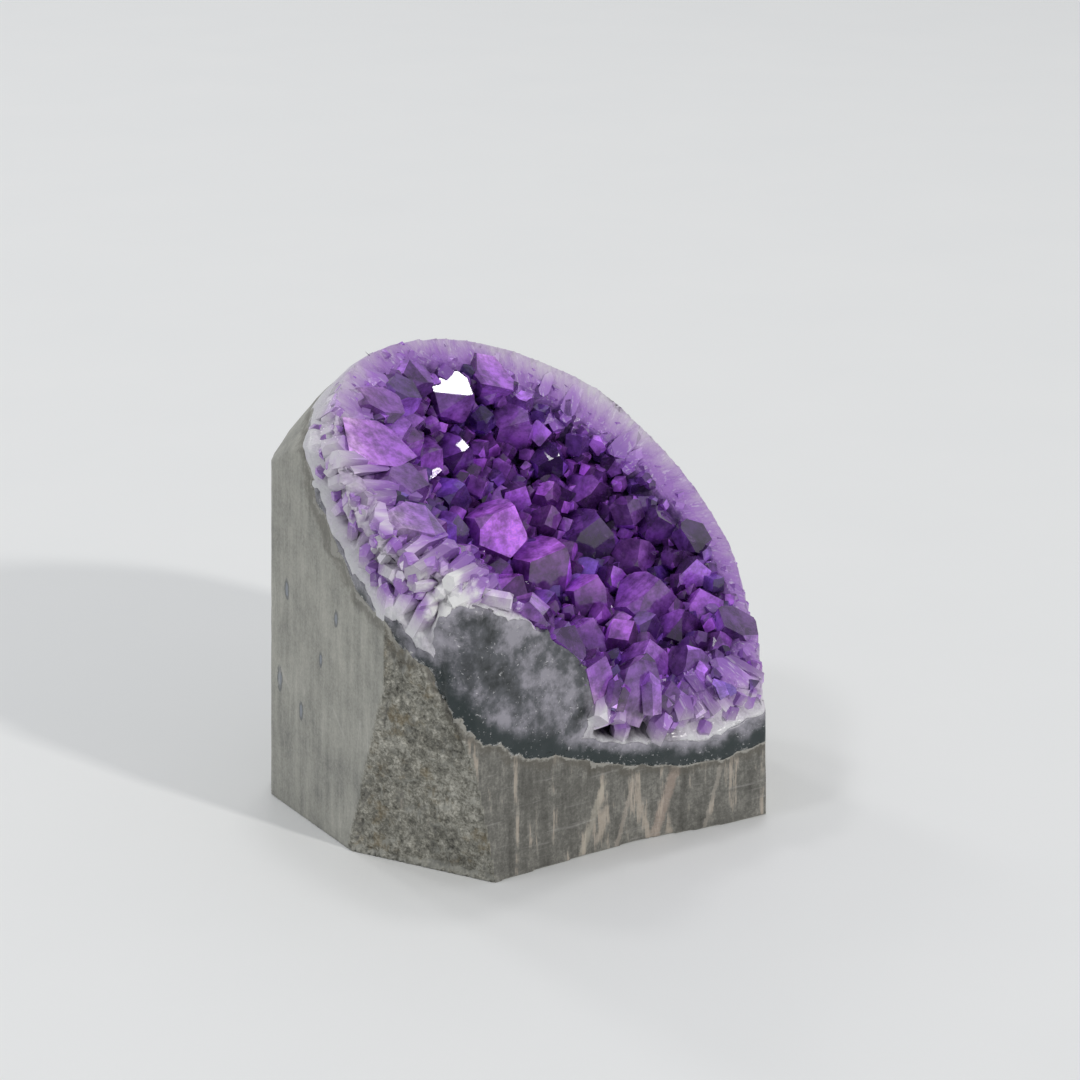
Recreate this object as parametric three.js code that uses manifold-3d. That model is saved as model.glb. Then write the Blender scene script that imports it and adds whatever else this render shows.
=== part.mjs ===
// An amethyst geode, cut and ground as a free-standing specimen.
// A block of grey basalt stands on a sawn base. A tilted cut opens the geode inside it: a grey agate
// band lines the basalt, milky quartz lines the agate, and amethyst crystals stand on the quartz.
// Millimetres, +Z up. X runs along the sawn front face, which faces -Y, and the base is at Z = 0. The
// block is laid out about a point near its middle, and the last lines bring its exact middle to X = Y = 0.
import * as THREE from "three";
import { mergeVertices } from "three/addons/utils/BufferGeometryUtils.js";
import Module from "manifold-3d";

// Driving dimensions of the block.
const BLOCK_HEIGHT = 94; // before the tilted cut
const SIDE_DRAW = 0.0005; // share by which the sides draw in, for each mm of height
const FRONT_Y = -46.6;
const FRONT_HOLLOW = 2.6; // how far the sawn front face dips in at its middle
const LEFT_X = -54.5;
const FRONT_ENDS = [-43, 23.4]; // left and right ends of the front face
const LEFT_ENDS = [-33, 14]; // front and back ends of the flat left face
const DOME = { centre: [-9, -6, 14], radii: [64, 60, 84] }; // rounds the ground shoulders

// The tilted cut that opens the geode, and the frame of the opening on it.
const OPENING_CENTRE = new THREE.Vector3(-9, -15, 59);
const OPENING_TILT = 37; // degrees from level
const OPENING_FACES = -62; // heading of its outward side, degrees anticlockwise from +X
const CORNER_SWELL = { at: [-40, -46], reach: 11, rise: 9 }; // the cut stands higher over this corner
const FRONT_DIP = { at: [3, -46], reach: 13, rise: -2.5 }; // and lower over the middle of the front

// Half-sizes of the nested layers, across the opening, up its slope, and into the block.
const CAVITY_CENTRE = [4, -3, 5]; // in the opening's frame
const HOLLOW = [37, 45, 24];
const QUARTZ_OUTSIDE = [57, 57, 31];
const AGATE_OUTSIDE = [58, 59.5, 33];
const AGATE_SAG = [0, -4, -0.5]; // the agate lies thickest low down, where it gathered
const AGATE_NODULE = { centre: [-33.5, -45, 38], radii: [22, 9, 11.5], tilt: 37 };
const GAP = 0.3; // clearance between neighbouring solids
const LAYER_SEGMENTS = [24, 14];

// The natural broken face that takes the block's front left corner, as a plane through three points.
const BROKEN_FACE = [[-54.4, -19, 0], [-38.6, -46.6, 0], [-54.4, -31, 38]];

// Crystals. The faces of a quartz point stand square to a line that leans this far from its axis.
const POINT_FACE_LEAN = 51.8; // degrees
const ROOT_DEPTH = 6; // how far a crystal's root lies behind the hollow's wall
const OUTWARD_LEAN = 0.3; // how far crystals turn from the wall's square towards the way out
const GOLDEN_ANGLE = 137.508;
const MOST_CRYSTALS = 52;
const LEAST_VOLUME = 60; // a crystal that the ground faces leave less of than this is left out

// The large crystals, where they stand as seen straight into the opening: millimetres across from
// its middle, millimetres up the slope, and width.
const LEADING = [
  [15, 34, 11], [12, 25, 8.5], [-23, 28, 12], [-14, 22, 9.5], [-3, 38, 8.5], [5, 39, 7.5],
  [25, 32, 8.5], [27, 23, 10.5], [1, 27, 8.5], [20, 12, 7.5], [30, 13, 8.5], [7, 7, 12.5],
  [12, -4, 14], [27, -4, 12.5], [33, 3, 9], [29, -14, 9], [36, -12, 8], [22, -23, 13.5],
  [20, -32, 8.5], [27, -32, 8.5], [15, -15, 10], [3, -35, 10], [8, -41, 9.5], [-18, -32, 8],
  [24, -39, 7.5], [32, -25, 7.5], [-33, 10, 9], [-28, -4, 9], [-20, -16, 10],
];
const FILL = { spots: 84, width: 8.8 }; // middling crystals between the large ones
const SMALL = { spots: 120, width: 6 }; // small ones, grown together with the quartz bed

const wasm = await Module();
wasm.setup();

const turn = THREE.MathUtils.degToRad;
const geode = new THREE.Group();

// A repeatable number from 0 to 1 for item i, purpose k.
function scatter(i, k) {
  const s = Math.sin(i * 12.9898 + k * 78.233) * 43758.5453;
  return s - Math.floor(s);
}

// ---- Solids and meshes ----

function solid(geometry) {
  const bare = geometry.index ? geometry.toNonIndexed() : geometry.clone();
  bare.deleteAttribute("normal");
  bare.deleteAttribute("uv");
  const merged = mergeVertices(bare, 1e-3);
  return new wasm.Manifold(
    new wasm.Mesh({
      numProp: 3,
      vertProperties: new Float32Array(merged.attributes.position.array),
      triVerts: new Uint32Array(merged.index.array),
    }),
  );
}

function addMesh(name, body, material) {
  const { vertProperties, triVerts } = body.getMesh();
  const geometry = new THREE.BufferGeometry();
  geometry.setAttribute("position", new THREE.BufferAttribute(vertProperties, 3));
  geometry.setIndex(new THREE.BufferAttribute(triVerts, 1));
  geometry.computeVertexNormals();
  const mesh = new THREE.Mesh(geometry, material);
  mesh.name = name;
  geode.add(mesh);
}

// The largest of the bodies that a cut leaves.
function mainBody(cut) {
  return cut.decompose().reduce((best, body) => (body.volume() > best.volume() ? body : best));
}

// A solid that holds everything beyond a plane, to cut away.
function beyond(normal, distance, size = 300) {
  const box = new THREE.BoxGeometry(size, size, size);
  const facing = new THREE.Quaternion().setFromUnitVectors(new THREE.Vector3(0, 0, 1), normal);
  box.applyQuaternion(facing);
  const middle = normal.clone().multiplyScalar(distance + size / 2);
  return solid(box.translate(middle.x, middle.y, middle.z));
}

// ---- The frame of the opening: across to the right, up the slope, and out of the block ----

const out = new THREE.Vector3(
  Math.sin(turn(OPENING_TILT)) * Math.cos(turn(OPENING_FACES)),
  Math.sin(turn(OPENING_TILT)) * Math.sin(turn(OPENING_FACES)),
  Math.cos(turn(OPENING_TILT)),
);
const across = new THREE.Vector3(0, 0, 1).cross(out).normalize();
const upslope = out.clone().cross(across);
const openingFrame = new THREE.Matrix4()
  .makeBasis(across, upslope, out)
  .setPosition(OPENING_CENTRE);

// ---- The block: an outline drawn up, with rounded shoulders, the tilted cut and the broken face ----

// Height of the tilted cut over a point of the base.
function cutHeight(x, y) {
  const level = out.dot(OPENING_CENTRE) - out.x * x - out.y * y;
  const swell = ({ at, reach, rise }) =>
    rise * Math.exp(-((x - at[0]) ** 2 + (y - at[1]) ** 2) / (2 * reach ** 2));
  return level / out.z + swell(CORNER_SWELL) + swell(FRONT_DIP);
}

// Everything above the tilted cut: a slab whose underside follows it.
function aboveCut() {
  const slab = new THREE.BoxGeometry(150, 150, 100, 24, 24, 1);
  const at = slab.attributes.position;
  for (let i = 0; i < at.count; i++) {
    const underside = cutHeight(at.getX(i), at.getY(i));
    at.setZ(i, at.getZ(i) < 0 ? underside : underside + 200);
  }
  return solid(slab);
}

function blockOutline() {
  const [frontLeft, frontRight] = FRONT_ENDS;
  const [leftFront, leftBack] = LEFT_ENDS;
  const outline = new THREE.Shape();
  outline.moveTo(frontRight, FRONT_Y);
  outline.splineThru([
    new THREE.Vector2(33, -29),
    new THREE.Vector2(39, -12),
    new THREE.Vector2(38.5, 5),
    new THREE.Vector2(32, 19),
    new THREE.Vector2(20, 30),
    new THREE.Vector2(3, 36),
    new THREE.Vector2(-17, 37),
    new THREE.Vector2(-36, 31),
    new THREE.Vector2(-49, 23),
    new THREE.Vector2(LEFT_X, leftBack),
  ]);
  outline.lineTo(LEFT_X, leftFront);
  outline.splineThru([new THREE.Vector2(-50.5, -41.5), new THREE.Vector2(frontLeft, FRONT_Y)]);
  const middle = (frontLeft + frontRight) / 2 + 6;
  outline.splineThru([
    new THREE.Vector2((frontLeft + middle) / 2, FRONT_Y + FRONT_HOLLOW * 0.65),
    new THREE.Vector2(middle, FRONT_Y + FRONT_HOLLOW),
    new THREE.Vector2((frontRight + middle) / 2, FRONT_Y + FRONT_HOLLOW * 0.3),
    new THREE.Vector2(frontRight, FRONT_Y),
  ]);
  return outline;
}

function wholeBlock() {
  const drawn = new THREE.ExtrudeGeometry(blockOutline(), {
    depth: BLOCK_HEIGHT,
    curveSegments: 3,
    bevelEnabled: false,
  });
  const at = drawn.attributes.position;
  for (let i = 0; i < at.count; i++) {
    const draw = 1 - SIDE_DRAW * at.getZ(i);
    at.setXY(i, at.getX(i) * draw, at.getY(i) * draw);
  }
  const dome = new THREE.SphereGeometry(1, 40, 28)
    .rotateX(Math.PI / 2)
    .scale(...DOME.radii)
    .translate(...DOME.centre);
  const [a, b, c] = BROKEN_FACE.map((p) => new THREE.Vector3(...p));
  const broken = new THREE.Plane().setFromCoplanarPoints(a, c, b);
  if (broken.normal.x > 0) broken.negate();
  return solid(drawn)
    .intersect(solid(dome))
    .subtract(aboveCut())
    .subtract(beyond(broken.normal, -broken.constant));
}

// ---- The layers: nested uneven bowls behind the opening ----

// A closed uneven ellipsoid in the opening's frame, moved out all round by grow.
function bowl(radii, unevenness, grow = 0, sag = [0, 0, 0]) {
  const shell = new THREE.SphereGeometry(1, ...LAYER_SEGMENTS).rotateX(Math.PI / 2);
  const at = shell.attributes.position;
  const p = new THREE.Vector3();
  for (let i = 0; i < at.count; i++) {
    p.fromBufferAttribute(at, i);
    const wave = Math.sin(5 * p.x + 2) * Math.cos(4 * p.y) + 0.6 * Math.sin(9 * p.y + 7 * p.z);
    const reach = 1 + unevenness * wave;
    at.setX(i, p.x * (radii[0] + grow) * reach);
    at.setY(i, p.y * (radii[1] + grow) * reach);
    at.setZ(i, p.z * (radii[2] + grow) * reach);
  }
  const centre = CAVITY_CENTRE.map((value, axis) => value + sag[axis]);
  return solid(shell.translate(...centre).applyMatrix4(openingFrame));
}

// The lump in the agate band at the front left.
function noduleSolid(grow = 0) {
  const { centre, radii, tilt } = AGATE_NODULE;
  const lump = new THREE.SphereGeometry(1, 16, 10);
  lump.scale(...radii.map((r) => r + grow)).rotateY(turn(tilt));
  return solid(lump.translate(...centre));
}

// ---- Crystals: six-sided columns with a six-faced point, its faces alternately large and small ----

// A crystal that stands on its root at the origin and points along +Z. grow widens it all round.
function crystalSolid(width, length, i, grow = 0) {
  const lean = turn(POINT_FACE_LEAN);
  const radius = width / Math.sqrt(3) + grow;
  const column = new THREE.CylinderGeometry(radius, radius * 0.92, length, 6)
    .rotateX(Math.PI / 2)
    .scale(1, 0.84 + 0.3 * scatter(i, 1), 1)
    .translate(0, 0, length / 2);
  let crystal = solid(column);
  for (let face = 0; face < 6; face++) {
    const heading = turn(60 * face);
    const small = face % 2;
    const setBack = width * (small ? 0.08 + 0.16 * scatter(i, 2 + face) : 0.06 * scatter(i, 2 + face));
    const normal = new THREE.Vector3(
      Math.sin(lean) * Math.cos(heading),
      Math.sin(lean) * Math.sin(heading),
      Math.cos(lean),
    );
    const distance = normal.z * (length - 0.08 * width) + setBack + grow * 0.8;
    crystal = crystal.subtract(beyond(normal, distance, 3 * length));
  }
  return crystal;
}

// The place on the hollow's wall that is seen at (x, y) straight into the opening. Gives the point
// and the way straight off the wall, in the block's frame.
function wallPlace(x, y) {
  const [cx, cy, cz] = CAVITY_CENTRE;
  const [a, b, d] = HOLLOW;
  const unit = new THREE.Vector3((x - cx) / a, (y - cy) / b, 0);
  unit.z = -Math.sqrt(Math.max(0.04, 1 - unit.lengthSq()));
  const point = new THREE.Vector3(x, y, cz + d * unit.z).applyMatrix4(openingFrame);
  const off = new THREE.Vector3(-unit.x / a, -unit.y / b, -unit.z / d);
  return { point, off: off.transformDirection(openingFrame) };
}

// A crystal rooted behind the wall, turned a little towards the opening. grow widens it all round.
function standCrystal({ x, y, width, i }, grow = 0) {
  const { point, off } = wallPlace(x, y);
  const axis = off
    .addScaledVector(out, OUTWARD_LEAN)
    .addScaledVector(across, 0.4 * (scatter(i, 11) - 0.5))
    .addScaledVector(upslope, 0.4 * (scatter(i, 12) - 0.5))
    .normalize();
  const up = new THREE.Vector3(0, 0, 1);
  const standing = new THREE.Quaternion().setFromUnitVectors(up, axis);
  const twist = new THREE.Quaternion().setFromAxisAngle(up, turn(60 * scatter(i, 13)));
  const root = point.addScaledVector(axis, -ROOT_DEPTH);
  const place = new THREE.Matrix4().compose(root, standing.multiply(twist), new THREE.Vector3(1, 1, 1));
  const tall = width * (0.68 + 0.25 * scatter(i, 14));
  return crystalSolid(width, ROOT_DEPTH + tall, i, grow).transform(Array.from(place.elements));
}

// Crystals spread evenly over the wall on a sunflower spiral.
function spiralSpecs({ spots, width }, firstNumber) {
  const specs = [];
  for (let k = 0; k < spots; k++) {
    const i = firstNumber + k;
    const reach = 0.97 * Math.sqrt((k + 0.5) / spots);
    const angle = turn(GOLDEN_ANGLE * k);
    specs.push({
      x: CAVITY_CENTRE[0] + HOLLOW[0] * reach * Math.cos(angle),
      y: CAVITY_CENTRE[1] + HOLLOW[1] * reach * Math.sin(angle),
      width: width * (0.85 + 0.35 * scatter(i, 23)),
      i,
    });
  }
  return specs;
}

// Keeps the crystals that don't stand where one of those before them already does.
function clearOf(taken, specs, share) {
  const kept = [];
  for (const spec of specs) {
    const here = wallPlace(spec.x, spec.y).point;
    const free = [...taken, ...kept].every((other) => {
      const there = wallPlace(other.x, other.y).point;
      return here.distanceTo(there) > (share * (spec.width + other.width)) / 2;
    });
    if (free) kept.push(spec);
  }
  return kept;
}

// ---- Materials ----

const stone = new THREE.MeshStandardMaterial({ color: 0x77766f, roughness: 0.6, metalness: 0 });
const agateStone = new THREE.MeshStandardMaterial({ color: 0x4f5a5a, roughness: 0.3, metalness: 0 });
const milkyQuartz = new THREE.MeshStandardMaterial({ color: 0xcfc6da, roughness: 0.25, metalness: 0 });
const amethyst = new THREE.MeshStandardMaterial({ color: 0x4a2390, roughness: 0.1, metalness: 0 });

// ---- Assembly: each layer is cut from the block, and each crystal is cut clear of the ones before ----

const block = wholeBlock();
const agateSpace = bowl(AGATE_OUTSIDE, 0.01, 0, AGATE_SAG).add(noduleSolid());
const quartzSpace = bowl(QUARTZ_OUTSIDE, 0.02).subtract(noduleSolid());
addMesh("basalt_block", mainBody(block.subtract(agateSpace).subtract(quartzSpace)), stone);

const agateFill = bowl(AGATE_OUTSIDE, 0.01, -GAP, AGATE_SAG).add(noduleSolid(-GAP));
addMesh("agate_band", mainBody(block.intersect(agateFill).subtract(quartzSpace)), agateStone);

const leading = LEADING.map(([x, y, width], i) => ({ x, y, width, i }));
const named = [...leading, ...clearOf(leading, spiralSpecs(FILL, 100), 0.9)];
const crystalRoom = block.intersect(bowl(QUARTZ_OUTSIDE, 0.02, -1).subtract(noduleSolid(1)));
const standing = [];
let taken = null;
for (const spec of named) {
  let body = standCrystal(spec).intersect(crystalRoom);
  if (taken) body = body.subtract(taken);
  if (body.volume() < LEAST_VOLUME || standing.length === MOST_CRYSTALS) continue;
  standing.push(spec);
  addMesh("crystal_" + String(standing.length).padStart(2, "0"), mainBody(body), amethyst);
  const sleeve = standCrystal(spec, GAP);
  taken = taken ? taken.add(sleeve) : sleeve;
}

let bed = block
  .intersect(bowl(QUARTZ_OUTSIDE, 0.02, -GAP).subtract(noduleSolid(GAP)))
  .subtract(bowl(HOLLOW, 0.01));
const small = clearOf(standing, spiralSpecs(SMALL, 300), 0.7);
for (const spec of small) bed = bed.add(standCrystal(spec).intersect(crystalRoom));
addMesh("quartz_bed", mainBody(bed.subtract(taken)), milkyQuartz);

// The middle of the geode's box comes over the origin.
const middle = new THREE.Box3().setFromObject(geode).getCenter(new THREE.Vector3());
geode.position.set(-middle.x, -middle.y, 0);

export default geode;
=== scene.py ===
import math
import random

import bmesh
import bpy
from mathutils import Matrix, Vector, noise
from mathutils.bvhtree import BVHTree


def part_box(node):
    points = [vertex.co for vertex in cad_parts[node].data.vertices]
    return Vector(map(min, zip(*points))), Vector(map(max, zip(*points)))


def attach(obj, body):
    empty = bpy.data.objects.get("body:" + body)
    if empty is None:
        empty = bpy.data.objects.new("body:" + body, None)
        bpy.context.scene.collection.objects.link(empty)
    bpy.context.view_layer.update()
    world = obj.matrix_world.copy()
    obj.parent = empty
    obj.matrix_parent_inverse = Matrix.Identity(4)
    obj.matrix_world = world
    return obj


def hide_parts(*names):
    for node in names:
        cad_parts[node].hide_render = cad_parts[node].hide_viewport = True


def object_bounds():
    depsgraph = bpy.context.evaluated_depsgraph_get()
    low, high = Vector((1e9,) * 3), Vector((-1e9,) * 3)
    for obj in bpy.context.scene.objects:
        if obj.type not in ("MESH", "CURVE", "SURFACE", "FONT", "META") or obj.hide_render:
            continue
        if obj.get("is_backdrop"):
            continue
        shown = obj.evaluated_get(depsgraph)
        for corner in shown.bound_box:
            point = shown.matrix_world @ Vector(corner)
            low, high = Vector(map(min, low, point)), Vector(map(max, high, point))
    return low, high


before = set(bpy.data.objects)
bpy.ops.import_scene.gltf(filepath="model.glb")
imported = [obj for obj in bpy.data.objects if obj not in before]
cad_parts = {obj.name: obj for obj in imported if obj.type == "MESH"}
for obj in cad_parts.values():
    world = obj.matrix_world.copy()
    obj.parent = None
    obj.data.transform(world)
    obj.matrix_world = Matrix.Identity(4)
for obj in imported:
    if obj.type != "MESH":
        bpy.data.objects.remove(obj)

# ---- Camera, floor and light ----
# The geode stands on a plain pale floor. The camera looks down on its sawn front and its left side. A
# low lamp in front throws the shadow back to the left. Four small bright sheets stand where some of the
# large crystals' faces mirror them.

MM = 0.001
low, high = (Vector(corner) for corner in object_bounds())


def heading(azimuth, elevation):
    """The way from the geode towards a place round it; azimuth 0 is in front of the sawn face."""
    turn, lift = math.radians(azimuth), math.radians(elevation)
    level = math.cos(lift)
    return Vector((math.sin(turn) * level, -math.cos(turn) * level, math.sin(lift)))


aim = Vector((low.x + 54.5 * MM, low.y + 46.6 * MM, 48 * MM))
view, view_distance = heading(-32, 18), 0.630
lens = bpy.data.cameras.new("camera")
lens.lens = 105
lens.sensor_width = 36
camera = bpy.data.objects.new("camera", lens)
camera.location = aim + view * view_distance
camera.rotation_euler = view.to_track_quat("Z", "Y").to_euler()
bpy.context.scene.collection.objects.link(camera)
bpy.context.scene.camera = camera


def soft_light(name, azimuth, elevation, distance, size, watts, colour=(1, 1, 1)):
    """A square panel of light, size metres wide, that faces the geode."""
    way = heading(azimuth, elevation)
    panel = bpy.data.lights.new(name, "AREA")
    panel.shape = "SQUARE"
    panel.size = size
    panel.energy = watts
    panel.color = colour
    light = bpy.data.objects.new(name, panel)
    light.location = aim + way * distance
    light.rotation_euler = way.to_track_quat("Z", "Y").to_euler()
    bpy.context.scene.collection.objects.link(light)


soft_light("lamp", 16, 28, 4.5, 0.24, 72, (1, 0.98, 0.95))
soft_light("sheet_high", 141, 74, 2.5, 0.34, 5.6)
soft_light("sheet_left", -95, 56, 2.5, 0.34, 5.6, (0.97, 0.98, 1))
soft_light("sheet_back", -154, 56, 2.5, 0.3, 4.0)
soft_light("sheet_behind", -176, 31, 2.5, 0.34, 5.2)

world = bpy.data.worlds.new("studio")
world.use_nodes = True
world.node_tree.nodes["Background"].inputs["Color"].default_value = (0.96, 0.975, 1, 1)
world.node_tree.nodes["Background"].inputs["Strength"].default_value = 0.53
bpy.context.scene.world = world
bpy.context.scene.view_settings.view_transform = "Standard"


class Field:
    """A number or colour that changes over a surface: a shader socket with arithmetic."""

    def __init__(self, finish, socket):
        self.finish = finish
        self.socket = socket

    def math(self, operation, *values):
        return self.finish.node("Math", {"operation": operation}, dict(enumerate(values)))

    def __add__(self, other):
        return self.math("ADD", self, other)

    def __sub__(self, other):
        return self.math("SUBTRACT", self, other)

    def __rsub__(self, other):
        return self.math("SUBTRACT", other, self)

    def __mul__(self, other):
        return self.math("MULTIPLY", self, other)

    __radd__ = __add__

    def between(self, start, end):
        """0 before start and 1 after end, with a soft step between them."""
        return self.finish.node(
            "MapRange",
            {"interpolation_type": "SMOOTHSTEP"},
            {"Value": self, "From Min": start, "From Max": end},
        )


class Finish:
    """A material whose colour, roughness and relief are worked out from places on the piece."""

    def __init__(self, name, **constants):
        self.material = bpy.data.materials.new(name)
        self.material.use_nodes = True
        self.tree = self.material.node_tree
        self.shader = self.tree.nodes["Principled BSDF"]
        for socket, value in constants.items():
            self.shader.inputs[socket.replace("_", " ")].default_value = value
        self.place = self.node("TexCoord", output="Object")

    def node(self, kind, settings=None, inputs=None, output=0):
        made = self.tree.nodes.new("ShaderNode" + kind)
        for setting, value in (settings or {}).items():
            if setting == "stops":
                ramp = made.color_ramp
                while len(ramp.elements) < len(value):
                    ramp.elements.new(1)
                for element, (position, colour) in zip(ramp.elements, value):
                    element.position = position
                    element.color = (*colour, 1)
            else:
                setattr(made, setting, value)
        for socket, value in (inputs or {}).items():
            if isinstance(value, Field):
                self.tree.links.new(value.socket, made.inputs[socket])
            elif value is not None:
                made.inputs[socket].default_value = value
        return Field(self, made.outputs[output])

    def grain(self, size, detail=3, roughness=0.55, distortion=0.0, at=None):
        """Cloudy noise, from 0 to 1, with lumps about size millimetres across."""
        inputs = {
            "Vector": at or self.place,
            "Scale": 1 / (size * MM),
            "Detail": detail,
            "Roughness": roughness,
            "Distortion": distortion,
        }
        return self.node("TexNoise", {}, inputs)

    def cells(self, size, feature="F1", at=None):
        """Distance to the middles or the edges of cells about size millimetres across."""
        inputs = {"Vector": at or self.place, "Scale": 1 / (size * MM)}
        return self.node("TexVoronoi", {"feature": feature}, inputs)

    def away_from(self, point):
        """Millimetres from a point."""
        inputs = {0: self.place, 1: point}
        return self.node("VectorMath", {"operation": "DISTANCE"}, inputs, "Value") * 1000

    def marked(self, name):
        """A number that mark() stored on the piece."""
        return self.node("Attribute", {"attribute_name": name}, output="Fac")

    def stretched(self, scale, turned=(0, 0, 0)):
        """Places scaled down along an axis, so that what is drawn at them is drawn out along it."""
        rotation = tuple(math.radians(a) for a in turned)
        return self.node("Mapping", {}, {"Vector": self.place, "Scale": scale, "Rotation": rotation})

    def ramp(self, value, *stops):
        return self.node("ValToRGB", {"stops": stops}, {"Fac": value})

    def mix(self, factor, first, second, blend="MIX"):
        def colour(c):
            return c if isinstance(c, Field) else (*c, 1)

        inputs = {"Factor": factor, 6: colour(first), 7: colour(second)}
        return self.node("Mix", {"data_type": "RGBA", "blend_type": blend}, inputs, 2)

    def relief(self, height, depth, strength=1.0, under=None):
        """A bump of about depth millimetres."""
        inputs = {"Height": height, "Distance": depth * MM, "Strength": strength, "Normal": under}
        return self.node("Bump", {}, inputs)

    def feed(self, **sockets):
        for socket, value in sockets.items():
            self.tree.links.new(value.socket, self.shader.inputs[socket.replace("_", " ")])
        return self.material


def piece(name, mesh_or_bmesh, material):
    """A finished object at the origin, with its place in its mesh."""
    if isinstance(mesh_or_bmesh, bmesh.types.BMesh):
        mesh = bpy.data.meshes.new(name)
        mesh_or_bmesh.to_mesh(mesh)
        mesh_or_bmesh.free()
    else:
        mesh = mesh_or_bmesh
    made = bpy.data.objects.new(name, mesh)
    bpy.context.scene.collection.objects.link(made)
    mesh.materials.clear()
    if material:
        mesh.materials.append(material)
    return made


paper = Finish("pale_floor", Roughness=0.55)
paper_tone = paper.mix(paper.grain(60), (0.80, 0.81, 0.81), (0.83, 0.835, 0.83))
ground = bmesh.new()
bmesh.ops.create_circle(ground, cap_ends=True, radius=4, segments=96)
floor = piece("floor", ground, paper.feed(Base_Color=paper_tone))
floor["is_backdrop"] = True


# ---- The block ----
# One lump of basalt with its geode, sawn flat below and in front, ground by hand on the sides and the
# rim, and broken at the lower front left. The layers are cut out of this whole block further down.

# The CAD solids are swollen a little while they are melted together, so that no gap stays between them.
SWOLLEN = 0.2
BLOCK_GRAIN = 0.66
corner = Vector((low.x, low.y, 0))

# The opening's frame, and the half-sizes of the nested layers behind it in millimetres.
OPENING = corner + Vector((45.5, 31.6, 59)) * MM
TILT, FACES = math.radians(37), math.radians(-62)
out = Vector((math.sin(TILT) * math.cos(FACES), math.sin(TILT) * math.sin(FACES), math.cos(TILT)))
across = Vector((0, 0, 1)).cross(out).normalized()
upslope = out.cross(across)
opening_turn = Matrix((across, upslope, out)).transposed()
CAVITY_SHIFT = Vector((4, -3, 5))
CAVITY = OPENING + opening_turn @ CAVITY_SHIFT * MM
HOLLOW = Vector((37, 45, 24))
HOLLOW_WALL = HOLLOW + Vector((1, 1, 1))
QUARTZ_OUTSIDE = Vector((57, 57, 31))
AGATE_OUTSIDE = Vector((58, 59.5, 33))
AGATE_SAG = opening_turn @ Vector((0, -4, -0.5)) * MM


def merged(*nodes):
    """A joined copy of CAD nodes with their shared corners merged."""
    joined = bmesh.new()
    for node in nodes:
        joined.from_mesh(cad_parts[node].data)
    bmesh.ops.remove_doubles(joined, verts=joined.verts, dist=1e-7)
    joined.normal_update()
    return joined


def hull_of(shape):
    """The convex hull of a shape, in its place."""
    hull = bmesh.new()
    for vertex in shape.verts:
        hull.verts.new(vertex.co)
    shape.free()
    bmesh.ops.convex_hull(hull, input=hull.verts)
    bmesh.ops.delete(hull, geom=[v for v in hull.verts if not v.link_faces], context="VERTS")
    bmesh.ops.recalc_face_normals(hull, faces=hull.faces)
    return hull


def swell(shape, distance):
    """Moves a shape's skin outwards by some millimetres."""
    for vertex in shape.verts:
        vertex.co += vertex.normal * distance * MM


def applied(made):
    """The object's mesh with its modifiers worked in."""
    graph = bpy.context.evaluated_depsgraph_get()
    mesh = bpy.data.meshes.new_from_object(made.evaluated_get(graph))
    old = made.data
    made.modifiers.clear()
    made.data = mesh
    bpy.data.meshes.remove(old)
    return made


def remeshed(made, grain):
    """The object with its overlapping solids melted into one even skin."""
    skin = made.modifiers.new("skin", "REMESH")
    skin.mode = "VOXEL"
    skin.voxel_size = grain * MM
    return applied(made)


def joined_with(made, other, operation):
    """The object after a Boolean with another."""
    cut = made.modifiers.new(operation, "BOOLEAN")
    cut.operation = operation
    cut.solver = "MANIFOLD"
    cut.object = other
    return applied(made)


def layered_noise(place, size, octaves=4):
    """Noise about 0, with lumps about size millimetres across."""
    return noise.fractal(place / (size * MM), 1.0, 2.0, octaves, noise_basis="PERLIN_ORIGINAL")


def ellipsoid_share(place, centre, turned, radii):
    """1 on an ellipsoid, less than 1 inside it."""
    inside = turned.transposed() @ (place - centre) / MM
    return Vector([step / radius for step, radius in zip(inside, radii)]).length


def reach(place, radii):
    """1 on an ellipsoid about the cavity's middle, less than 1 inside it."""
    return ellipsoid_share(place, CAVITY, opening_turn, radii)


def soft_step(value, start, end):
    """0 before start and 1 after end, with a soft step between them."""
    share = min(1.0, max(0.0, (value - start) / (end - start)))
    return share * share * (3 - 2 * share)


# The lump that the agate swells into at the front left, and the lip above it.
LUMP_AT = corner + Vector((21, 1.6, 38)) * MM
LUMP_RADII = Vector((22, 9, 11.5))
lump_turn = Matrix.Rotation(math.radians(37), 3, "Y")


def in_lump(place):
    """Less than 1 inside the lump of agate at the front left."""
    return ellipsoid_share(place, LUMP_AT, lump_turn, LUMP_RADII)


LIP = corner + Vector((13, 3, 52)) * MM
LIP_WHOLE, LIP_END = 34, 66


def lip_share(place):
    """1 on the lip at the front left, where the comb stands uncut, and 0 away from it."""
    return 1 - soft_step((place - LIP).length / MM, LIP_WHOLE, LIP_END)


crystal_nodes = sorted(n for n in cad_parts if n.startswith("crystal_"))
whole = merged("basalt_block", "agate_band", "quartz_bed", *crystal_nodes)
swell(whole, SWOLLEN)
block = remeshed(piece("block", whole, None), BLOCK_GRAIN)

# The broken face: its plane runs through three corners, and it is hackly to about a millimetre.
broken_a = corner + Vector((0.1, 27.6, 0)) * MM
broken_b = corner + Vector((15.9, 0, 0)) * MM
broken_c = corner + Vector((0.1, 15.6, 38)) * MM
broken_out = (broken_b - broken_a).cross(broken_a - broken_c).normalized()
if broken_out.x > 0:
    broken_out.negate()


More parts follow.
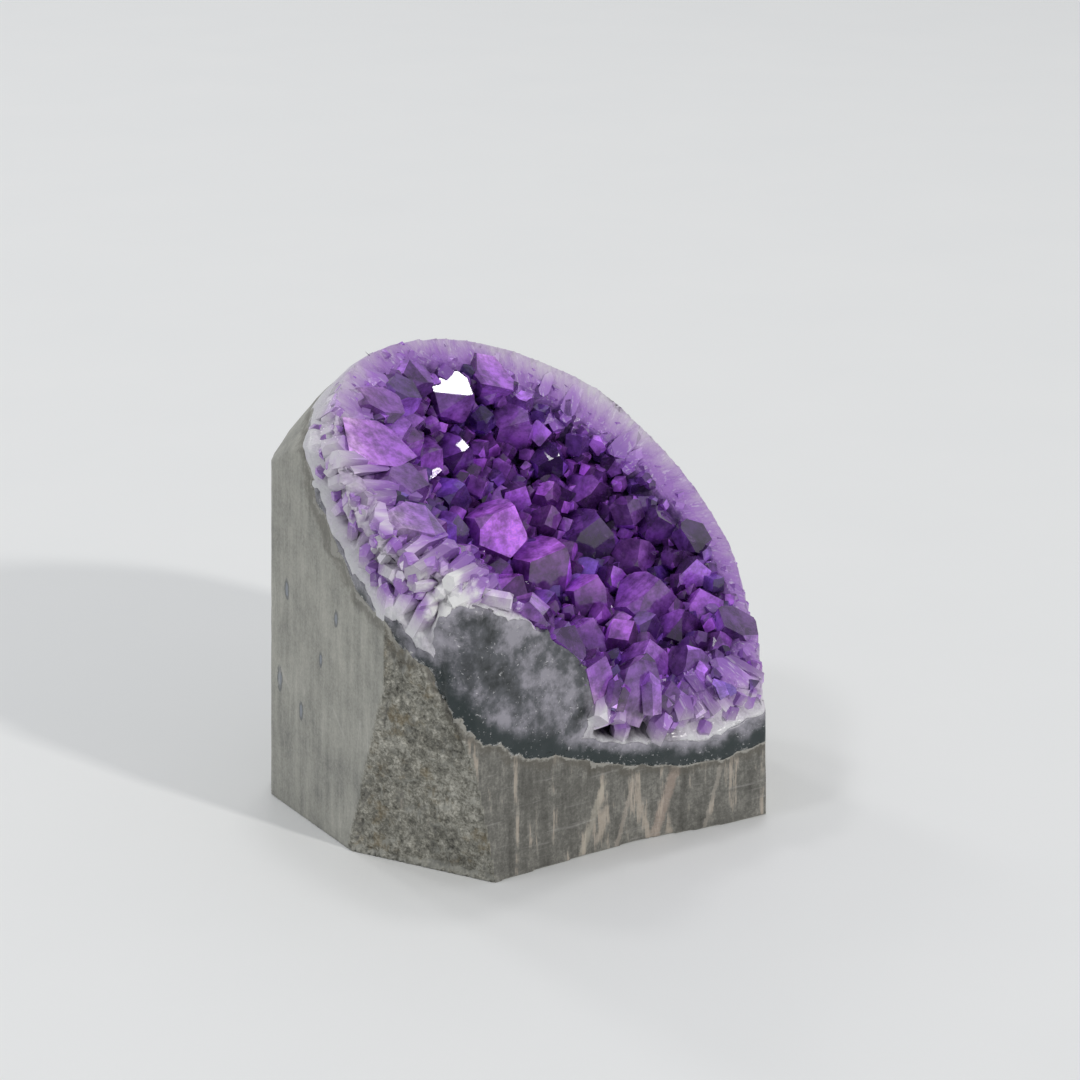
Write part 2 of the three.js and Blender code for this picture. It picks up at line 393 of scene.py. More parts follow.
def brokenness(place, normal):
    """1 on the broken face, 0 on the sawn and ground ones."""
    off_plane = abs((place - broken_a).dot(broken_out)) / MM
    facing = soft_step(normal.dot(broken_out), 0.86, 0.95)
    return facing * (1 - soft_step(off_plane, 2.2, 3.2))


# Millimetres: the waves that the saw and the grinding left, and how deep the broken face, the pit and the
# quartz are sunk, the quartz on the sawn front, on the lip, and round the hollow's rim.
WAVES = 0.12
BROKEN_LEAST, LEDGES = 0.45, 1.7
PIT, PIT_DEPTH = corner + Vector((2.6, 9.5, 55)) * MM, 2.2
FRONT_SUNK, LIP_SUNK, RIM_SUNK = 1.3, 3.2, 1.5
BASE_HEIGHT = 0.4

shape = bmesh.new()
shape.from_mesh(block.data)
shape.normal_update()
swell(shape, -SWOLLEN)
shape.normal_update()
for vertex in shape.verts:
    place = vertex.co.copy()
    depth = WAVES * abs(layered_noise(place, 9))
    hackly = brokenness(place, vertex.normal)
    if hackly > 0:
        ledges = abs(layered_noise(place, 12, 3)) + 0.5 * abs(layered_noise(place * 1.7, 3.5, 4))
        depth += hackly * (BROKEN_LEAST + LEDGES * ledges)
    behind, within = reach(place, HOLLOW), reach(place, QUARTZ_OUTSIDE)
    if behind > 0.985 and within < 1:
        on_quartz = soft_step(behind, 0.985, 1.02) * soft_step(within, 1.0, 0.955)
        on_quartz *= soft_step(in_lump(place), 1.0, 1.12)
        sunk = max(
            FRONT_SUNK * soft_step(-vertex.normal.y, 0.3, 0.8),
            LIP_SUNK * lip_share(place),
            RIM_SUNK * (1 - soft_step(behind, 1.02, 1.2)),
        )
        depth += on_quartz * sunk * (1 + 0.6 * layered_noise(place, 3, 3))
    depth += PIT_DEPTH * (1 - soft_step((place - PIT).length / MM, 0.6, 2.0))
    if place.z > BASE_HEIGHT * MM:
        vertex.co = place - vertex.normal * depth * MM
shape.to_mesh(block.data)
shape.free()


# ---- The contacts between the layers ----
# The cavity of the geode is an uneven ellipsoid that lies along the tilted opening. Each contact, from
# rock to agate, agate to quartz and quartz to hollow, is another ellipsoid about the same middle. The
# agate sags a little and is thickest low in front, where it swells into a lump.


def contact(name, radii, ragged, size, centre=CAVITY, turned=opening_turn, inward=0.0):
    """A closed ellipsoid whose skin wanders in and out by about ragged millimetres."""
    ball = bmesh.new()
    bmesh.ops.create_icosphere(ball, subdivisions=6, radius=1)
    for vertex in ball.verts:
        way = vertex.co.copy()
        at = turned @ (way * radii) * MM + centre
        wander = layered_noise(at, size) + 0.45 * layered_noise(at * 1.3, size / 4)
        vertex.co = at + turned @ way * (ragged * wander - inward) * MM
    return piece(name, ball, None)


# Half-sizes, raggedness, size of the wander, and place. Each layer stops a hair, SEAM, short of the room
# that is cut for it.
SEAM = 0.02
AGATE = (AGATE_OUTSIDE, 1.3, 8, CAVITY + AGATE_SAG)
LUMP = (LUMP_RADII, 1.8, 7, LUMP_AT, lump_turn)
QUARTZ = (QUARTZ_OUTSIDE, 1.4, 6)

rock_edge = contact("rock_edge", *AGATE)
lump_edge = contact("lump_edge", *LUMP)
agate_edge = contact("agate_edge", *AGATE, inward=SEAM)
agate_lump = contact("agate_lump", *LUMP, inward=SEAM)
quartz_room = contact("quartz_room", *QUARTZ)
quartz_edge = contact("quartz_edge", *QUARTZ, inward=SEAM)
hollow = contact("hollow", HOLLOW_WALL, 0.8, 9)


def part_of_block(name, operation, tool):
    """A copy of the block after a Boolean with a tool."""
    copy = piece(name, block.data.copy(), None)
    return joined_with(copy, tool, operation)


rock = part_of_block("rock", "DIFFERENCE", rock_edge)
rock = joined_with(rock, lump_edge, "DIFFERENCE")
rock = joined_with(rock, quartz_room, "DIFFERENCE")
agate = part_of_block("agate", "INTERSECT", agate_edge)
agate = joined_with(agate, quartz_room, "DIFFERENCE")
swelling = part_of_block("swelling", "INTERSECT", agate_lump)
agate = joined_with(agate, swelling, "UNION")
quartz = part_of_block("quartz", "INTERSECT", quartz_edge)
quartz = joined_with(quartz, lump_edge, "DIFFERENCE")
quartz = joined_with(quartz, hollow, "DIFFERENCE")


# The block's outside as it is ground: the sawn sides, the tilted cut and the rounded shoulders.
# Crystals are cut off where they would stand out of it. The cut swells and sinks a little: (x, y, width,
# rise). GROUND keeps the crystals just under the ground skin.
CUT_SWELLS = ((14.5, 0.6, 11, 9), (57.5, 0.6, 13, -2.5))
DOME_AT, DOME_RADII = Vector((45.5, 40.6, 14)), Vector((64, 60, 84))
GROUND = 0.25


def cut_height(place):
    """Height of the tilted cut over a point of the base."""
    height = (out.dot(OPENING) - out.x * place.x - out.y * place.y) / out.z
    for x, y, wide, rise in CUT_SWELLS:
        away = (place.x - corner.x - x * MM) ** 2 + (place.y - corner.y - y * MM) ** 2
        height += rise * MM * math.exp(-away / (2 * (wide * MM) ** 2))
    return height


slab = bmesh.new()
bmesh.ops.create_grid(slab, x_segments=60, y_segments=60, size=70 * MM)
raised = bmesh.ops.extrude_face_region(slab, geom=slab.faces[:])["geom"]
for vertex in slab.verts:
    vertex.co.z = -10 * MM
for vertex in (v for v in raised if isinstance(v, bmesh.types.BMVert)):
    vertex.co.z = cut_height(vertex.co) - GROUND * MM
bmesh.ops.recalc_face_normals(slab, faces=slab.faces)
shoulders = bmesh.new()
bmesh.ops.create_uvsphere(shoulders, u_segments=64, v_segments=40, radius=1)
bmesh.ops.scale(shoulders, verts=shoulders.verts, vec=(DOME_RADII - Vector((GROUND,) * 3)) * MM)
bmesh.ops.translate(shoulders, verts=shoulders.verts, vec=corner + DOME_AT * MM)
room = piece("room", hull_of(merged(*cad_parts)), None)
lid, dome = piece("lid", slab, None), piece("dome", shoulders, None)
room = joined_with(joined_with(room, lid, "INTERSECT"), dome, "INTERSECT")


def tree(made):
    """An object's faces, sorted so that the nearest one is found fast."""
    skin = bmesh.new()
    skin.from_mesh(made.data)
    found = BVHTree.FromBMesh(skin)
    skin.free()
    return found


outside, wall = tree(room), tree(hollow)
rock_contacts = [tree(rock_edge), tree(lump_edge)]
quartz_contacts = [tree(quartz_room), tree(lump_edge)]
tools = (block, rock_edge, lump_edge, agate_edge, agate_lump, quartz_room, quartz_edge, hollow, swelling)
for tool in (*tools, room, lid, dome):
    bpy.data.objects.remove(tool)


def near(trees, place):
    """Millimetres to the nearest of some surfaces."""
    return min(surface.find_nearest(place)[3] for surface in trees) / MM


def mark(made, name, rule):
    """Stores a number for each vertex, worked out from its place and normal."""
    layer = made.data.attributes.new(name, "FLOAT", "POINT")
    layer.data.foreach_set("value", [rule(v.co, v.normal) for v in made.data.vertices])


def growth(place, _):
    """0 where the quartz began on the agate, 1 at the hollow's wall, and 0.1 more for each mm off it."""
    off_wall = near([wall], place)
    if reach(place, HOLLOW_WALL) < 1:
        return 1 + off_wall / 10
    rooted = near(quartz_contacts, place)
    return rooted / (rooted + off_wall + 0.01)


def cover(place, _):
    """Millimetres to the outside of the block."""
    return near([outside], place)


def mark_quartz(made):
    mark(made, "growth", growth)
    mark(made, "cover", cover)


def dress(made, material):
    """Gives every face of a cut piece the one finish, with smooth shading."""
    made.data.materials.clear()
    made.data.materials.append(material)
    made.data.polygons.foreach_set("material_index", [0] * len(made.data.polygons))
    made.data.shade_smooth()
    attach(made, "root")


# ---- Basalt ----
# Fine-grained grey rock, ground matt on the sides, with beige veins in its sawn front, small filled gas
# bubbles in its left side, and ochre stains on its granular broken face. A pale crust follows its
# contact with the agate.

mark(rock, "broken", brokenness)
mark(rock, "crust", lambda place, _: near(rock_contacts + quartz_contacts, place))
mark(rock, "left", lambda _, normal: soft_step(-normal.x, 0.55, 0.85))
mark(rock, "sawn", lambda _, normal: soft_step(-normal.y, 0.6, 0.9))

# The filled bubbles (y, z, width) and the veins (x, z, slope, width, top, colour), from the corner.
ALMONDS = ((54, 45, 1.1), (57, 26, 1.3), (34, 45, 0.9), (48, 22, 1.0), (40, 35, 0.8))
VEINS = (
    (56, 9, 0.35, 1.5, 15, (0.52, 0.4, 0.33)),
    (39.5, 9, 0.4, 1.1, 14, (0.5, 0.46, 0.38)),
    (47, 8, 0.33, 0.8, 13, (0.47, 0.41, 0.35)),
    (66, 8, 0.3, 0.7, 13, (0.42, 0.38, 0.33)),
)

basalt = Finish("basalt", Roughness=0.6)
broken, left = basalt.marked("broken"), basalt.marked("left")
cloud = basalt.grain(11, 4, 0.6)
speckle = basalt.grain(0.55, 3, 0.75)
grit = basalt.grain(1.9, 4, 0.75)
upright = basalt.grain(2.2, 4, 0.65, at=basalt.stretched((1, 1, 0.1)))
slanted = basalt.grain(2.6, 4, 0.7, at=basalt.stretched((1, 1, 0.12), (0, -20, 0)))
saw_lines = basalt.grain(0.8, 2, 0.6, at=basalt.stretched((0.06, 0.06, 1), (4, 6, 0)))
ground_tone = cloud * 0.3 + speckle * 0.25 + upright * 0.3 + grit * 0.15
ground_grey = basalt.ramp(
    ground_tone, (0.36, (0.17, 0.171, 0.157)), (0.5, (0.325, 0.322, 0.285)), (0.66, (0.5, 0.49, 0.435))
)
sawn_tone = cloud * 0.15 + speckle * 0.25 + slanted * 0.35 + grit * 0.25
sawn_grey = basalt.ramp(
    sawn_tone, (0.36, (0.04, 0.038, 0.032)), (0.5, (0.125, 0.122, 0.108)), (0.66, (0.33, 0.32, 0.285))
)
beige = slanted.between(0.56, 0.64) * cloud.between(0.4, 0.52)
sawn_grey = basalt.mix(beige * 0.6, sawn_grey, (0.46, 0.39, 0.32))
along_x = basalt.node("SeparateXYZ", {}, {0: basalt.place}, "X") * 1000
up_z = basalt.node("SeparateXYZ", {}, {0: basalt.place}, "Z") * 1000
for x, z, slope, wide, top, vein_colour in VEINS:
    beside = along_x - up_z * slope - (corner.x / MM + x - z * slope) + (grit - 0.5) * 2.2
    vein = beside.math("ABSOLUTE", beside).between(wide, wide * 0.4) * up_z.between(top + 1, top - 1)
    sawn_grey = basalt.mix(vein * 0.38, sawn_grey, vein_colour)
sawn_grey = basalt.mix(saw_lines.between(0.6, 0.75) * 0.25, sawn_grey, (0.45, 0.44, 0.42))
grey = basalt.mix(basalt.marked("sawn"), ground_grey, sawn_grey)
broken_tone = cloud * 0.2 + speckle * 0.35 + grit * 0.45
broken_grey = basalt.ramp(
    broken_tone, (0.38, (0.05, 0.049, 0.04)), (0.5, (0.25, 0.243, 0.205)), (0.62, (0.62, 0.6, 0.53))
)
rusty = basalt.grain(7, 4, 0.7).between(0.52, 0.66)
broken_grey = basalt.mix(rusty * 0.5, broken_grey, (0.2, 0.145, 0.06))
grey = basalt.mix(broken, grey, broken_grey)
for y, z, wide in ALMONDS:
    shift = tuple(-c for c in corner + Vector((0, y, z)) * MM)
    flat = (0, 1 / wide, 0.45 / wide)
    moved = basalt.node("VectorMath", {"operation": "ADD"}, {0: basalt.place, 1: shift})
    moved = basalt.node("VectorMath", {"operation": "MULTIPLY"}, {0: moved, 1: flat})
    almond = basalt.node("VectorMath", {"operation": "LENGTH"}, {0: moved}, "Value") * 1000 + (grit - 0.5)
    grey = basalt.mix(almond.between(1.0, 0.75) * left * 0.7, grey, (0.1, 0.11, 0.125))
    grey = basalt.mix(almond.between(0.6, 0.4) * left * 0.6, grey, (0.3, 0.33, 0.38))
scratch = basalt.cells(16, "DISTANCE_TO_EDGE", at=basalt.stretched((1, 1, 0.22), (9, 14, 0)))
scratched = scratch.between(0.009, 0.003) * left * cloud.between(0.52, 0.6)
grey = basalt.mix(scratched * 0.3, grey, (0.55, 0.54, 0.5))
crust = basalt.marked("crust") + (grit - 0.5) * 3.4 + (cloud - 0.45) * 4
grey = basalt.mix(crust.between(2.6, 0.9) * 0.55, grey, (0.09, 0.08, 0.062))
grey = basalt.mix(crust.between(0.75, 0.25) * 0.5, grey, (0.45, 0.44, 0.4))
roughening = basalt.relief(grit, 0.9, 0.75, basalt.relief(speckle, 0.3, 0.8))
smooth_bump = basalt.relief(speckle * 0.4 + upright * 0.5 + saw_lines * 0.25, 0.22, 0.7)
bumped = basalt.node("Mix", {"data_type": "VECTOR"}, {"Factor": broken, 4: smooth_bump, 5: roughening}, 1)
dress(rock, basalt.feed(Base_Color=grey, Normal=bumped, Roughness=0.5 + broken * 0.25))
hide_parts("basalt_block")


# ---- Agate ----
# Dense smoky agate with white specks, almost black and blue-green at its outer margin, with a crust of
# tiny white crystals along the rock.

beside_rock, beside_quartz = tree(rock), tree(quartz)
mark(agate, "margin", lambda place, _: near([beside_rock], place))
mark(agate, "inner", lambda place, _: near([beside_quartz], place))
smoke = Finish("agate", Roughness=0.34, Coat_Weight=0.12, Coat_Roughness=0.15)
haze = smoke.grain(7, 5, 0.65)
margin = smoke.marked("margin") + (haze - 0.5) * 5
smoky = smoke.ramp(
    haze, (0.36, (0.014, 0.018, 0.02)), (0.5, (0.08, 0.084, 0.096)), (0.63, (0.27, 0.26, 0.3))
)
smoky = smoke.mix(margin.between(5.2, 1.8) * 0.95, smoky, (0.005, 0.015, 0.016))
milky = smoke.marked("inner") + (smoke.grain(3, 4, 0.7) - 0.5) * 6
smoky = smoke.mix(milky.between(2.5, -0.5) * 0.6, smoky, (0.42, 0.4, 0.46))
flecks = smoke.grain(0.8, 3, 0.8).between(0.6, 0.7) * smoke.grain(4, 2, 0.6).between(0.4, 0.6)
smoky = smoke.mix(flecks * 0.8, smoky, (0.6, 0.6, 0.62))
rim_crust = (smoke.marked("margin") + (smoke.grain(1.3, 4, 0.8) - 0.4) * 4).between(0.6, 0.1)
smoky = smoke.mix(rim_crust * 0.7, smoky, (0.6, 0.6, 0.58))
agate_bump = smoke.relief(flecks + rim_crust, 0.2, 0.5, smoke.relief(haze, 0.4, 0.3))
dress(agate, smoke.feed(Base_Color=smoky, Normal=agate_bump))
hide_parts("agate_band")


# ---- Quartz comb ----
# Milky quartz that grew inwards from the agate: white and sugary at its root, then lilac, and purple
# where it opens into crystals. Its columns stand side by side like a comb, uncut on the lip.


def zoned(finish, grown, streaks, shown, buried):
    """The colour of quartz by how far it had grown, and the fibres and sheaves that it grew in.

    It is pale less than shown millimetres under the block's outside, and deep from buried on. The deep
    colour is painted near-black at the hollow's wall, as painted shade in the crevices, and brighter
    further off it, as painted light shining through the points. Near the outside the pale colour is
    partly the quartz's own paler rim and partly painted light shining through the thin rim."""
    middle = finish.node(
        "Mapping",
        {"vector_type": "TEXTURE"},
        {"Vector": finish.place, "Location": CAVITY, "Rotation": opening_turn.to_euler()},
    )
    way = finish.node("VectorMath", {"operation": "NORMALIZE"}, {0: middle})
    fan = finish.node("VectorMath", {"operation": "SCALE"}, {0: way, "Scale": 0.045})
    bent = finish.node("VectorMath", {"operation": "MULTIPLY_ADD"}, {0: middle, 1: (0.12,) * 3, 2: fan})
    fibre = finish.grain(0.9, 3, 0.65, at=bent)
    sheaf = finish.grain(3.2, 3, 0.6, at=bent)
    zone = grown + (fibre - 0.5) * streaks + (sheaf - 0.5) * 0.7
    pale = finish.ramp(
        zone * 0.7,
        (0.0, (0.68, 0.675, 0.7)),
        (0.2, (0.62, 0.57, 0.66)),
        (0.36, (0.5, 0.38, 0.6)),
        (0.56, (0.34, 0.17, 0.52)),
        (0.85, (0.25, 0.1, 0.45)),
    )
    pale = finish.mix(fibre.between(0.55, 0.7) * streaks, pale, (0.82, 0.79, 0.86))
    off_wall = (grown - 1) * 10 + (sheaf - 0.5) * 3
    # Painted shade and light: near-black at the hollow's wall, where the crevices between the crystals
    # are in shade, and brighter purple further off it, where light shines through the points.
    deep = finish.ramp(
        off_wall * 0.1,
        (0.0, (0.006, 0.002, 0.013)),
        (0.15, (0.045, 0.012, 0.1)),
        (0.4, (0.2, 0.055, 0.38)),
        (0.8, (0.38, 0.15, 0.6)),
    )
    # Pale near the block's outside: partly the quartz's own paler colour at the cut rim, partly painted
    # light shining through the thin rim.
    lit = finish.marked("cover") + (sheaf - 0.5) * 4
    return finish.mix(lit.between(shown, buried), pale, deep), fibre, sheaf


CHALK = corner + Vector((6, 2, 56.5)) * MM


def chalked(finish, colour, sheaf):
    """Turns quartz to white chalk about one place on the lip."""
    chalky = (finish.away_from(CHALK) + (sheaf - 0.5) * 9).between(8, 5)
    return finish.mix(chalky * 0.9, colour, (0.84, 0.84, 0.83))


mark_quartz(quartz)
milk = Finish("milky_quartz", Roughness=0.4, Coat_Weight=0.15, Coat_Roughness=0.15)
grown = milk.marked("growth")
bed_colour, fibre, sheaf = zoned(milk, grown, 0.45, 1.0, 5.0)
# Painted shade: inside the hollow the bed between the crystals is painted near-black. It is also made
# matt and uncoated there.
in_hollow = grown.between(0.88, 1.0) * (milk.marked("cover") + (sheaf - 0.5) * 4).between(0.8, 4.5)
bed_colour = milk.mix(in_hollow, bed_colour, (0.035, 0.008, 0.085))
bed_colour = chalked(milk, bed_colour, sheaf)
sugar = milk.grain(0.7, 4, 0.8)
sugar_bump = milk.relief(sugar, 0.35, 0.8, milk.relief(fibre, 0.4, 0.7, milk.relief(sheaf, 1.0, 0.7)))
milk.feed(
    Base_Color=bed_colour,
    Normal=sugar_bump,
    Coat_Weight=0.15 - in_hollow * 0.15,
    Roughness=0.4 + in_hollow * 0.3,
)
dress(quartz, milk.material)
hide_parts("quartz_bed")

# A point face's normal leans 51.8 degrees off the crystal's length. The golden angle spreads places
# evenly. Cuts under SMALLEST_CUT are left out, and HEAD_ON parts growth at the outside from grazing it.
POINT_LEAN = math.radians(51.8)
GOLDEN_ANGLE = math.radians(137.508)
SMALLEST_CUT = 0.05
HEAD_ON = 0.4
chance = random.Random(7)


def cut_off(shape, at, square):
    """Cuts away what lies beyond a plane, and closes the cut."""
    parts = shape.verts[:] + shape.edges[:] + shape.faces[:]
    cut = bmesh.ops.bisect_plane(shape, geom=parts, plane_co=at, plane_no=square, clear_outer=True)
    rim = [e for e in cut["geom_cut"] if isinstance(e, bmesh.types.BMEdge)]
    if rim:
        bmesh.ops.contextual_create(shape, geom=rim)


def above_ground(place):
    """Millimetres that a place stands out of the block, less than 0 inside it."""
    at, square, _, _ = outside.find_nearest(place)
    return (place - at).dot(square) / MM


def ground_off(shape):
    """Cuts off what stands out of the block, up to a few facets."""
    for _ in range(3):
        most, plane = SMALLEST_CUT * MM, None
        for vertex in shape.verts:
            at, square, _, _ = outside.find_nearest(vertex.co)
            if (vertex.co - at).dot(square) > most:
                most, plane = (vertex.co - at).dot(square), (at, square)
        if not plane:
            return
        cut_off(shape, *plane)


def give_tint(crystal):
    """Marks a whole crystal with one number, from which its colour is drawn."""
    layer = crystal.verts.layers.float.new("tint")
    tint = chance.random()
    for vertex in crystal.verts:
        vertex[layer] = tint


def grow_crystal(cluster, root, axis, width, length, spin):
    """Adds one crystal to a cluster: its column stands on root along axis, under six point faces.

    It grows no longer than the room above it, unless it only grazes the block's outside."""
    _, square, _, headroom = outside.ray_cast(root, axis)
    if headroom and axis.dot(square) > HEAD_ON:
        length = min(length, headroom * chance.uniform(0.82, 1))
    one = bmesh.new()
    bmesh.ops.create_cone(
        one, cap_ends=True, segments=6, radius1=width * 0.5, radius2=width * 0.577, depth=length
    )
    bmesh.ops.translate(one, verts=one.verts, vec=(0, 0, length / 2))
    bmesh.ops.scale(one, verts=one.verts, vec=(1, chance.uniform(0.75, 1.2), 1))
    for side in range(6):
        turn = math.radians(60 * side + 30)
        set_back = width * (chance.uniform(0.06, 0.28) if side % 2 else chance.uniform(0, 0.08))
        level = math.sin(POINT_LEAN)
        square = Vector((level * math.cos(turn), level * math.sin(turn), math.cos(POINT_LEAN)))
        cut_off(one, square * (square.z * (length - 0.08 * width) + set_back), square)
    stand = Vector((0, 0, 1)).rotation_difference(axis).to_matrix().to_4x4()
    place = Matrix.Translation(root) @ stand @ Matrix.Rotation(spin, 4, "Z")
    bmesh.ops.transform(one, verts=one.verts, matrix=place)
    ground_off(one)
    bmesh.ops.recalc_face_normals(one, faces=one.faces)
    give_tint(one)
    along = one.verts.layers.float.new("along")
    for vertex in one.verts:
        vertex[along] = (vertex.co - root).dot(axis) / length
    moved = bpy.data.meshes.new("moved")
    one.to_mesh(moved)
    one.free()
    cluster.from_mesh(moved)
    bpy.data.meshes.remove(moved)


def new_cluster():
    cluster = bmesh.new()
    for layer in ("tint", "along"):
        cluster.verts.layers.float.new(layer)
    return cluster


def cluster_piece(name, cluster, material):
    """The finished object of some crystals, each of their faces with a random number from which it is
    painted lighter or darker: painted shade and painted highlights.
    """
    made = piece(name, cluster, material)
    mark_quartz(made)
    facets = made.data.attributes.new("facet", "FLOAT", "FACE")
    facets.data.foreach_set("value", [chance.random() for _ in made.data.polygons])
    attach(made, "root")
    return made


# The comb's columns run from the agate to the hollow. Only those that show are grown: the ones whose
# middle is between LOWEST and HIGHEST above the block's outside.
COLUMNS = 2300
LOWEST, HIGHEST = -4.5, 1.0
comb = new_cluster()
for k in range(COLUMNS):
    height = 1 - 2 * (k + 0.5) / COLUMNS
    level = math.sqrt(1 - height * height)
    way = Vector((level * math.cos(GOLDEN_ANGLE * k), level * math.sin(GOLDEN_ANGLE * k), height))
    start = CAVITY + opening_turn @ (way * QUARTZ_OUTSIDE) * MM
    end = CAVITY + opening_turn @ (way * HOLLOW) * MM
    middle = start.lerp(end, 0.6)
    faces_down = outside.find_nearest(middle)[1].z < -0.5
    if not LOWEST < above_ground(middle) < HIGHEST or faces_down or in_lump(end) < 1.05:
        continue
    axis = (end - start).normalized()
    while in_lump(start) < 1 and (end - start).length > 3 * MM:
        start = start + axis * MM
    jitter = Vector([chance.uniform(-0.16, 0.16) for _ in range(3)])
    root = start.lerp(end, chance.uniform(0.1, 0.5))
    if above_ground(root) > -0.5:
        continue
    tip = end + axis * chance.uniform(0.6, 4.2) * MM
    width = chance.uniform(2.2, 4.2) * MM
    length = (tip - root).length
    grow_crystal(comb, root, (axis + jitter).normalized(), width, length, chance.uniform(0, 1))

# On the lip, and close round the hollow, points stand up off the bed too.
LIP_TRIES = 5200
LIP_ROOT = 3.5
standing = []
skin = [(v.co.copy(), v.normal.copy()) for v in quartz.data.vertices if near([outside], v.co) < 5]
for place, normal in chance.sample(skin, LIP_TRIES):
    wanted = max(1.3 * lip_share(place), 0.9 * (reach(place, HOLLOW) < 1.2))
    if not 0.12 < growth(place, None) < 0.98 or chance.random() > wanted or in_lump(place) < 1.08:
        continue
    width = chance.uniform(2.2, 4.8) * MM
    if any((place - other).length < 0.42 * (width + wide) for other, wide in standing):
        continue
    inwards = (CAVITY - place).normalized()
    lean = Vector([chance.uniform(-0.25, 0.25) for _ in range(3)])
    axis = (normal * 0.9 + inwards * 0.5 + out * 0.3 + lean).normalized()
    root = place - axis * LIP_ROOT * MM
    if in_lump(root) < 1.05 or above_ground(root) > 0:
        continue
    standing.append((place, width))
    length = LIP_ROOT * MM + width * chance.uniform(0.7, 1.6)
    grow_crystal(comb, root, axis, width, length, chance.uniform(0, 1))

columns = Finish("comb", Roughness=0.14, Coat_Weight=0.4, Coat_Roughness=0.05)
by_place, by_length = columns.marked("growth"), columns.marked("along") * 1.15 - 0.12
grown = by_place.math("MAXIMUM", by_place, by_length)
comb_colour, fibre, sheaf = zoned(columns, grown, 0.35, 1.5, 7.0)
# Each face is painted lighter or darker at random: painted shade and painted highlights.
painted_facet_light = columns.ramp(columns.marked("facet"), (0, (0.62,) * 3), (1, (1.25,) * 3))
comb_colour = chalked(columns, columns.mix(1.0, comb_colour, painted_facet_light, "MULTIPLY"), sheaf)
pitted = columns.grain(0.6, 3, 0.7)
comb_bump = columns.relief(pitted, 0.2, 0.5, columns.relief(fibre, 0.3, 0.5))
cluster_piece("comb_points", comb, columns.feed(Base_Color=comb_colour, Normal=comb_bump))


# ---- Amethyst ----
# Clear purple quartz, the large crystals each in a socket of their own: a six-sided column under six
# point faces, three large and three small. Painted shade makes it almost black in the crevices and at the
# crystals' roots, painted light makes it brighter purple towards the points, and near the rim it is pale,
# partly its own colour and partly painted light through the thin rim. Each face is also painted lighter
# or darker at random, as painted shade and painted glints.

violet = Finish(
    "amethyst", Roughness=0.05, IOR=1.54, Transmission_Weight=0.3, Coat_Weight=0.5, Coat_Roughness=0.02
)
# Along each crystal the colour runs from painted shade at its root to painted light at its point.
by_place, by_length = violet.marked("growth"), violet.marked("along") + 0.62
purple = zoned(violet, by_place.math("MAXIMUM", by_place, by_length), 0.04, 0.8, 6.5)[0]
# Each face is painted from far darker to far lighter at random: painted shade and painted glints.
painted_facet_light = violet.ramp(
    violet.marked("facet"),
    (0.0, (0.3,) * 3),
    (0.45, (0.85,) * 3),
    (0.8, (1.7,) * 3),
    (1.0, (2.6,) * 3),
)
purple = violet.mix(1.0, purple, painted_facet_light, "MULTIPLY")
crystal_tint = violet.ramp(
    violet.marked("tint"),
    (0.0, (0.35, 0.4, 0.6)),
    (0.3, (0.7, 0.6, 0.72)),
    (0.6, (1.1, 1.05, 1.1)),
    (1.0, (1.0, 0.72, 0.95)),
)
purple = violet.mix(0.9, purple, crystal_tint, "MULTIPLY")
veil = violet.grain(2.6, 4, 0.75, distortion=0.8)
purple = violet.mix(veil.between(0.55, 0.75) * 0.3, purple, (0.42, 0.22, 0.62))
cloudy = violet.grain(3.4, 4, 0.7)
clouding = violet.ramp(cloudy, (0.36, (0.45,) * 3), (0.5, (0.95,) * 3), (0.62, (1.5,) * 3))
purple = violet.mix(1.0, purple, clouding, "MULTIPLY")
ripple, hillocks = violet.grain(1.6, 3, 0.6), violet.cells(1.7)
facet_bump = violet.relief(ripple, 0.04, 0.14, violet.relief(hillocks, 0.03, 0.12))
amethyst = violet.feed(Base_Color=purple, Normal=facet_bump)

SAME_FACE = math.radians(4)
for node in crystal_nodes:
    crystal = hull_of(merged(node))
    bmesh.ops.dissolve_limit(crystal, angle_limit=SAME_FACE, verts=crystal.verts, edges=crystal.edges)
    give_tint(crystal)
    made = cluster_piece(node.replace("crystal", "point"), crystal, amethyst)
    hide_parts(node)


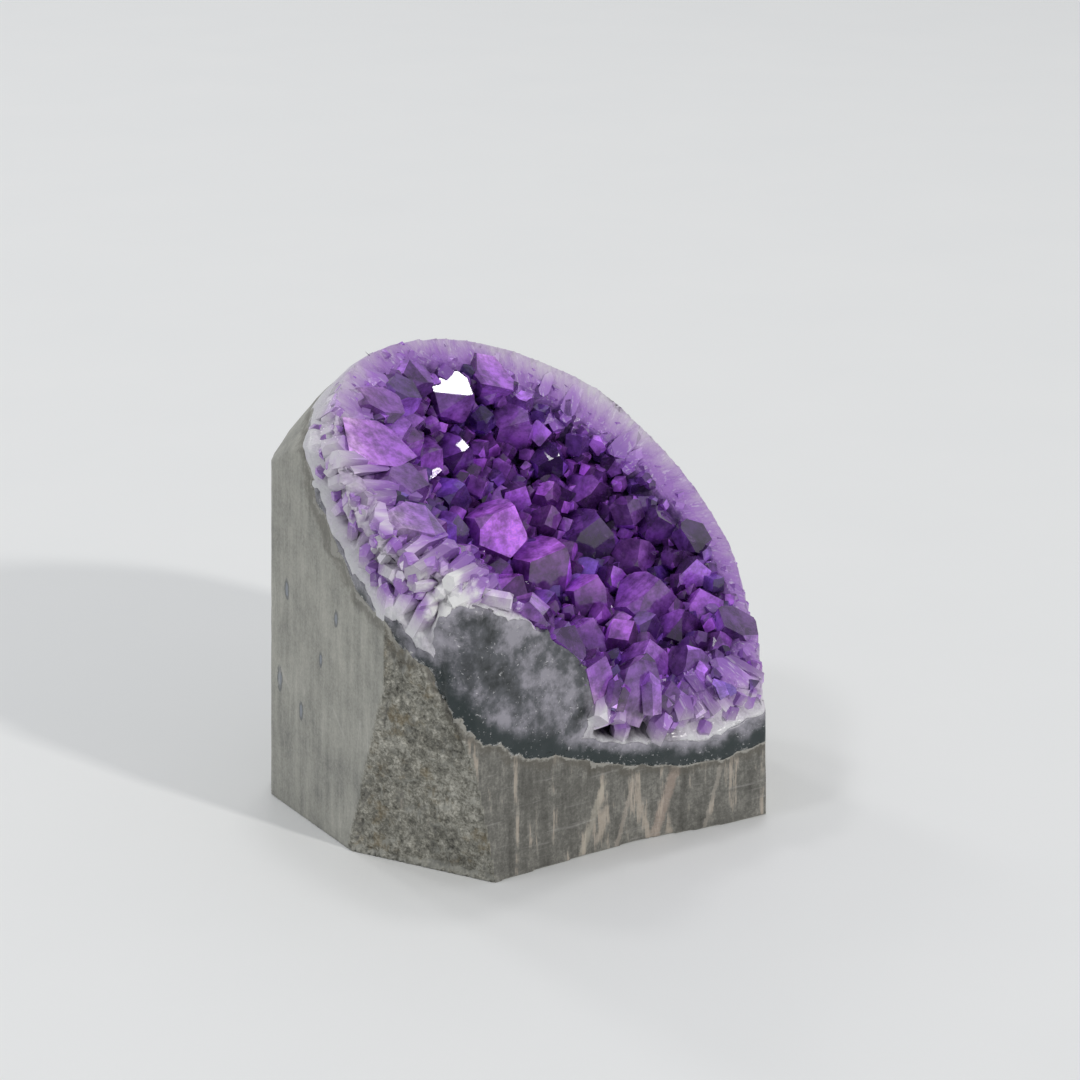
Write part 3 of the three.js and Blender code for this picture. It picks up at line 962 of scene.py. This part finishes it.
# ---- The small crystals ----
# The druse between the large crystals, of the same clear purple quartz on the same wall of the hollow:
# points from two to seven millimetres wide, packed side by side.


def wall_place(x, y):
    """The wall point seen at (x, y) millimetres straight into the opening, and the way off the wall."""
    unit = Vector(((x - CAVITY_SHIFT.x) / HOLLOW.x, (y - CAVITY_SHIFT.y) / HOLLOW.y, 0))
    unit.z = -math.sqrt(max(0.04, 1 - unit.length_squared))
    point = OPENING + opening_turn @ Vector((x, y, CAVITY_SHIFT.z + HOLLOW.z * unit.z)) * MM
    off = opening_turn @ Vector([-u / r for u, r in zip(unit, HOLLOW)])
    return point, off.normalized()


# Tries, least and most width, and the free space that each needs as a share of its width.
DRUSE = ((190, 4.6, 7.0, 0.42), (1500, 2.2, 4.2, 0.2))
DRUSE_ROOT = 4
WANDER, LEAN = 1.2, 0.35

taken = []
for node in crystal_nodes:
    node_low, node_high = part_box(node)
    taken.append(((node_low + node_high) / 2, 0.32 * min(node_high - node_low)))
druse = new_cluster()
for tries, least, most, apart in DRUSE:
    for k in range(tries):
        share = 1.01 * math.sqrt((k + 0.5) / tries)
        angle = GOLDEN_ANGLE * k
        x = CAVITY_SHIFT.x + HOLLOW.x * share * math.cos(angle) + chance.uniform(-WANDER, WANDER)
        y = CAVITY_SHIFT.y + HOLLOW.y * share * math.sin(angle) + chance.uniform(-WANDER, WANDER)
        point, off = wall_place(x, y)
        width = chance.uniform(least, most) * MM
        if any((point - middle).length < size + apart * width for middle, size in taken):
            continue
        if point.y < low.y + 0.5 * MM:
            continue
        jitter = across * chance.uniform(-LEAN, LEAN) + upslope * chance.uniform(-LEAN, LEAN)
        axis = (off + out * 0.35 + jitter).normalized()
        root = point - axis * DRUSE_ROOT * MM
        if in_lump(point) < 1.1 or near([outside], point) < 0.9:
            continue
        length = DRUSE_ROOT * MM + width * chance.uniform(0.6, 1.3)
        grow_crystal(druse, root, axis, width, length, chance.uniform(0, 1))
        taken.append((point, 0.3 * width))
cluster_piece("small_points", druse, amethyst)
